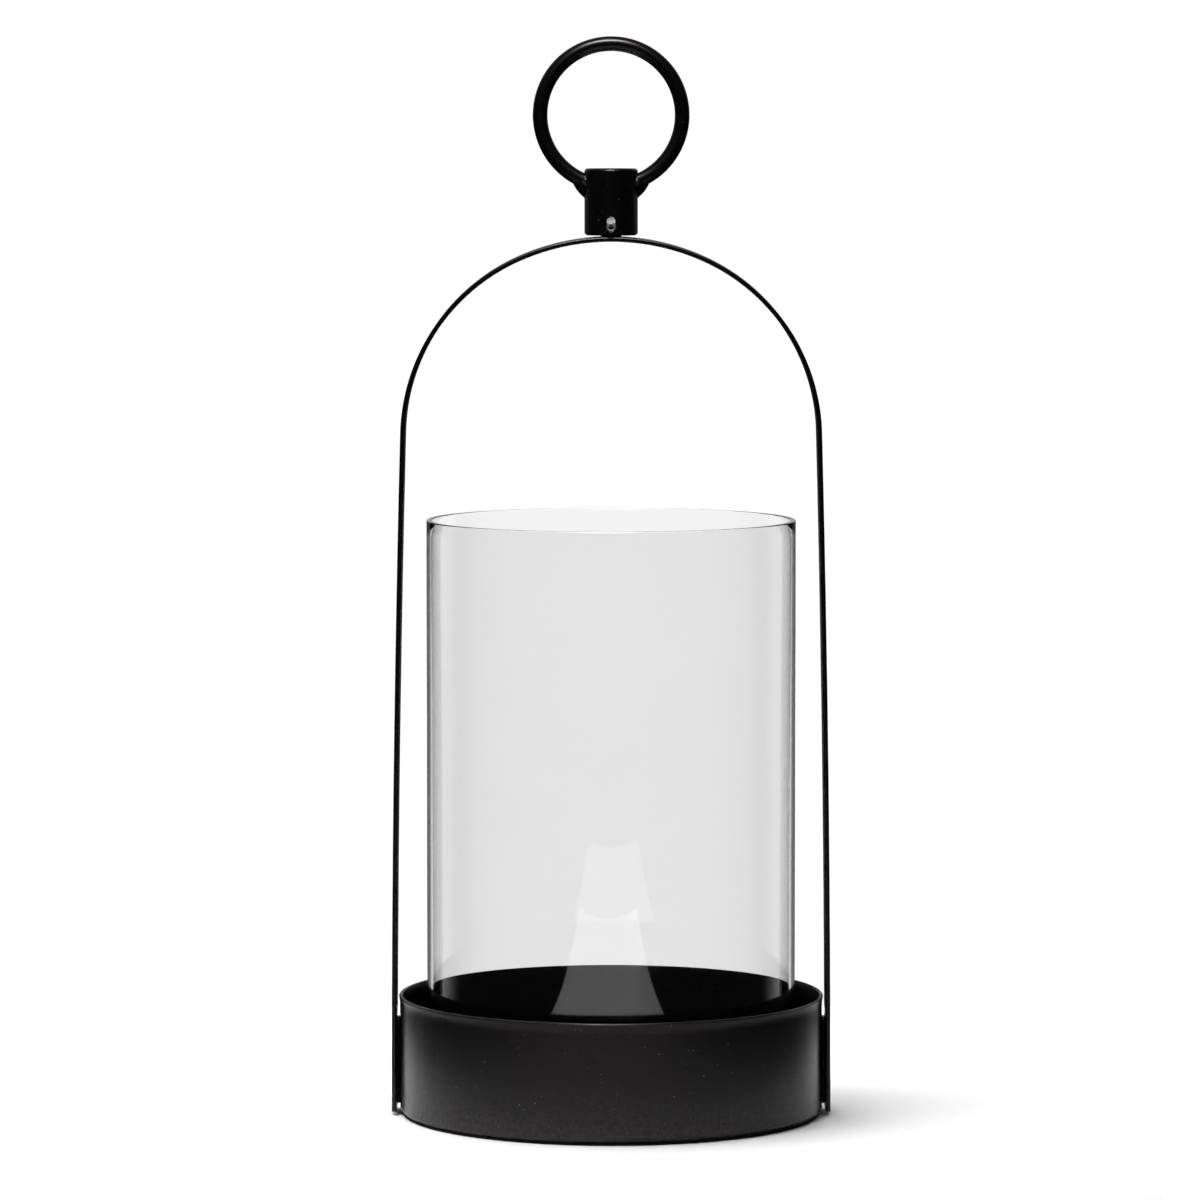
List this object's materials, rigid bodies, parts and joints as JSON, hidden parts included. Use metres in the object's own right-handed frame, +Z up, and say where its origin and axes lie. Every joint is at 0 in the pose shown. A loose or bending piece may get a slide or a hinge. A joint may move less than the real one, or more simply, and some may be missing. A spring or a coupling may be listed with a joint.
{
  "type": "candle lantern",
  "caption": "Free-standing candle lantern: a round black steel tray with a loose clear glass cylinder under a flat-strip arch that carries a ring on a clamped sleeve.",
  "frame": {"origin": "middle of the tray on the surface that the lantern stands on", "axes": "+Z up, the arch lies in the XZ plane, and the grub screw in the sleeve faces -Y, the front"},
  "size_m": [0.1788, 0.173, 0.4381],
  "materials": {
    "black_coat": "satin black powder coat",
    "zinc_screw": "zinc plated",
    "clear_glass": "clear, polished, faint neutral tint",
    "black_felt": "matte felt"
  },
  "bodies": {
    "frame": {"tray": "black_coat", "arch_band": "black_coat", "crown_stud": "black_coat", "left_leg_weld": "black_coat", "right_leg_weld": "black_coat", "base_felt": "black_felt"},
    "glass": {"glass_cylinder": "clear_glass"},
    "head": {"sleeve": "black_coat", "ring": "black_coat", "left_ring_weld": "black_coat", "right_ring_weld": "black_coat"},
    "grub_screw": {"set_screw": "zinc_screw"}
  },
  "joints": [
    {"name": "glass_lift", "type": "slide", "parent": "frame", "child": "glass", "axis": [0, 0, 1], "range_m": [0, 0.055]},
    {"name": "head_swivel", "type": "hinge", "parent": "frame", "child": "head", "pos_m": [0, 0, 0.3686], "axis": [0, 0, 1], "continuous": true},
    {"name": "screw_out", "type": "slide", "parent": "head", "child": "grub_screw", "axis": [0, -1, 0], "range_m": [0, 0.004]}
  ]
}
